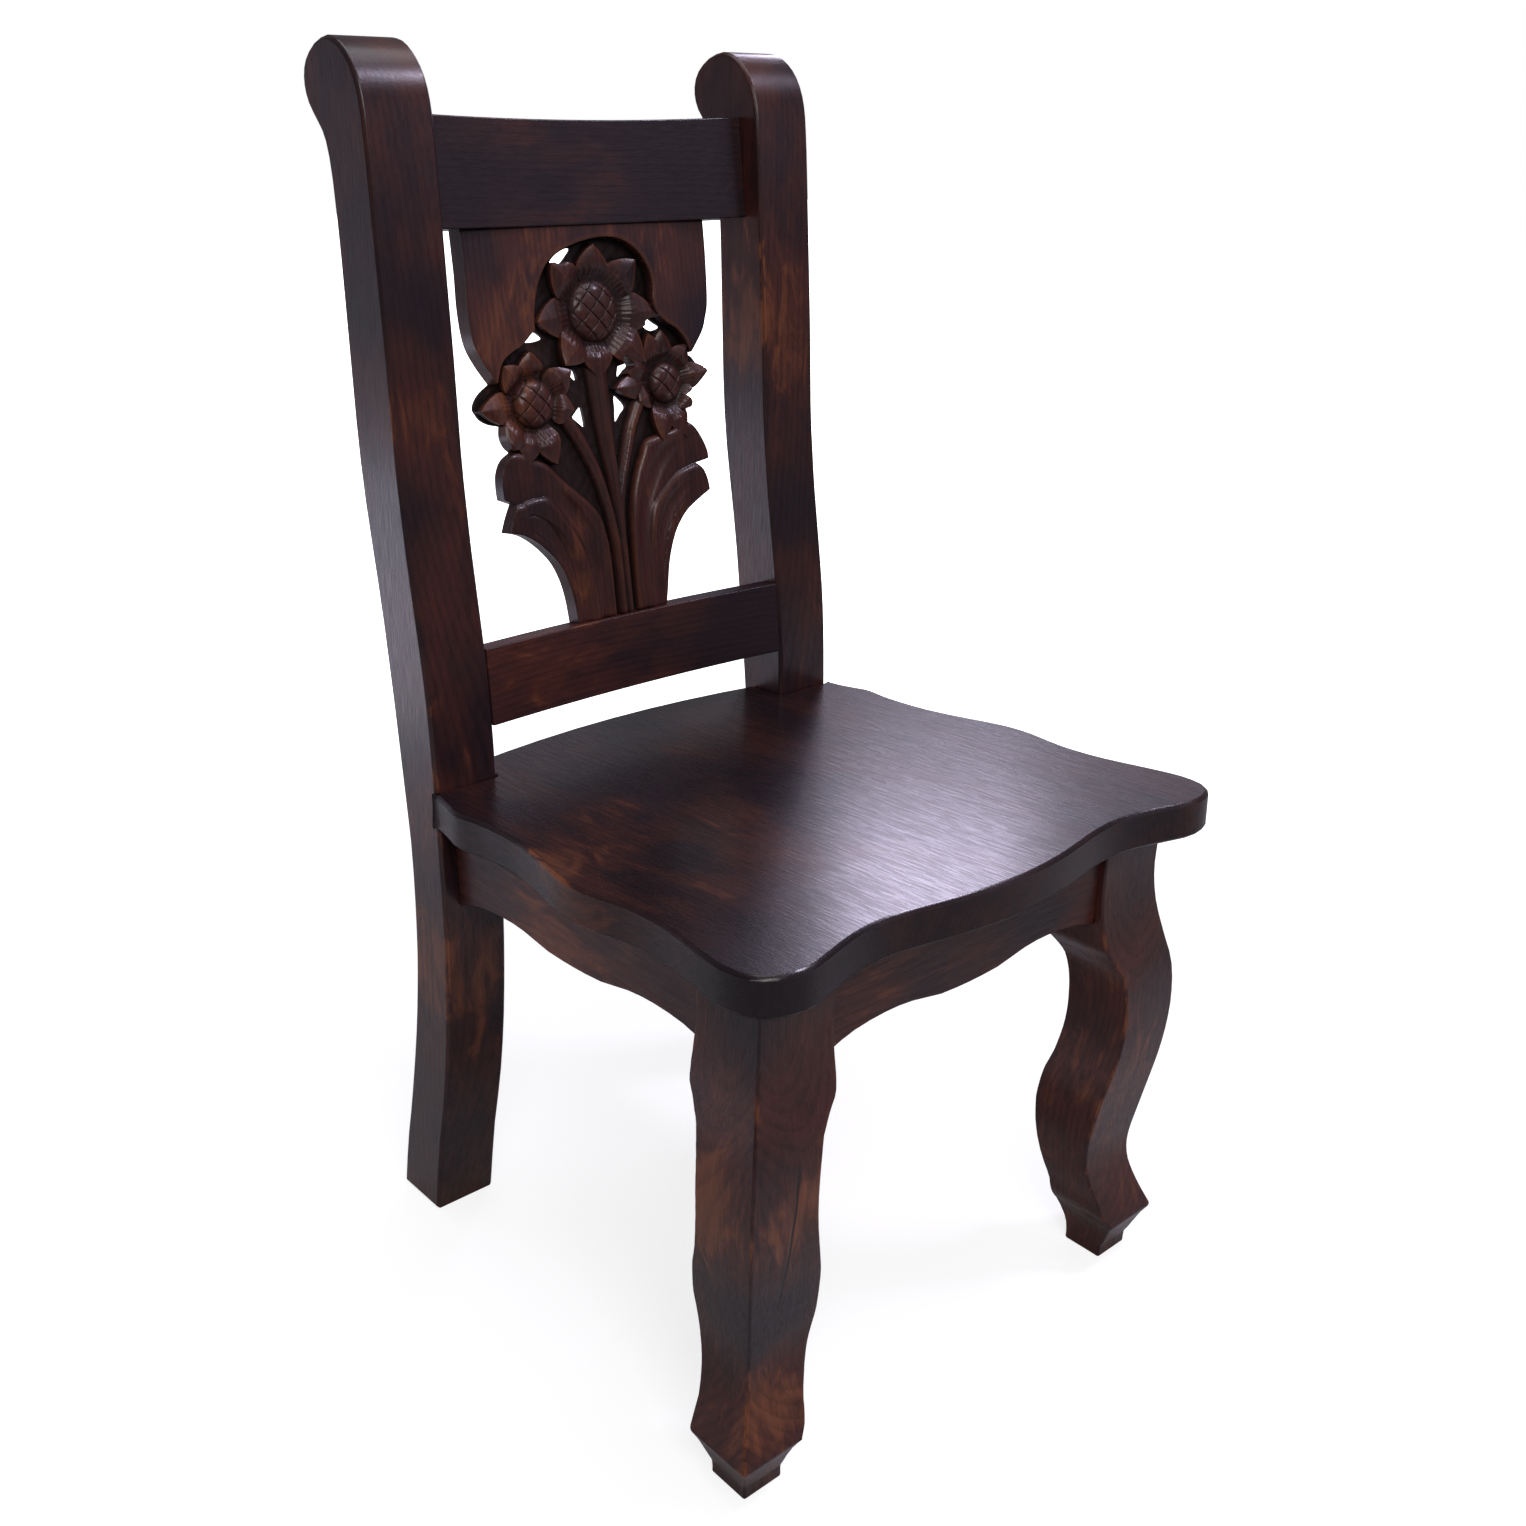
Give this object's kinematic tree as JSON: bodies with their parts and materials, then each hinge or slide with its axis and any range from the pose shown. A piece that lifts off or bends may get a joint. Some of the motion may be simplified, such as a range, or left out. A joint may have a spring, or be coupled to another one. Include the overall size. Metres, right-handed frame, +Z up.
{
  "type": "dining chair",
  "caption": "Dark carved wooden dining chair with scrolled back posts, a pierced sunflower splat, a wavy-edged board seat and sawn cabriole front legs.",
  "frame": {"origin": "middle of the chair's bounding box in plan, on the floor under its feet", "axes": "+Z up, -Y the way the sitter faces, -X the sitter's right hand"},
  "size_m": [0.52, 0.5814, 1.024],
  "materials": {
    "walnut_dark": "very dark brown stain under semi-gloss lacquer",
    "walnut_warm": "dark reddish brown stain, rubbed lighter on the raised carving and the arrises, semi-gloss lacquer",
    "seat_lacquer": "very dark brown stain under glossier lacquer, worn at the rim",
    "secondary_wood": "stained, unpolished",
    "screw_steel": "zinc plated"
  },
  "bodies": {
    "root": {"back_post_right": "walnut_dark", "back_post_left": "walnut_dark", "crest_rail": "walnut_dark", "lower_back_rail": "walnut_dark", "carved_splat": "walnut_warm", "seat_board": "seat_lacquer", "front_leg_right": "walnut_warm", "front_leg_left": "walnut_warm", "front_apron": "walnut_dark", "side_apron_right": "walnut_dark", "side_apron_left": "walnut_dark", "rear_apron": "walnut_dark", "corner_block_front_right": "secondary_wood", "corner_block_front_left": "secondary_wood", "corner_block_rear_right": "secondary_wood", "corner_block_rear_left": "secondary_wood", "side_apron_screw_front_right": "screw_steel", "side_apron_screw_front_left": "screw_steel", "side_apron_screw_rear_right": "screw_steel", "side_apron_screw_rear_left": "screw_steel", "front_apron_screw_right": "screw_steel", "front_apron_screw_left": "screw_steel", "rear_apron_screw_right": "screw_steel", "rear_apron_screw_left": "screw_steel", "seat_screw_front_right": "screw_steel", "seat_screw_front_left": "screw_steel", "seat_screw_rear_right": "screw_steel", "seat_screw_rear_left": "screw_steel"}
  },
  "joints": []
}
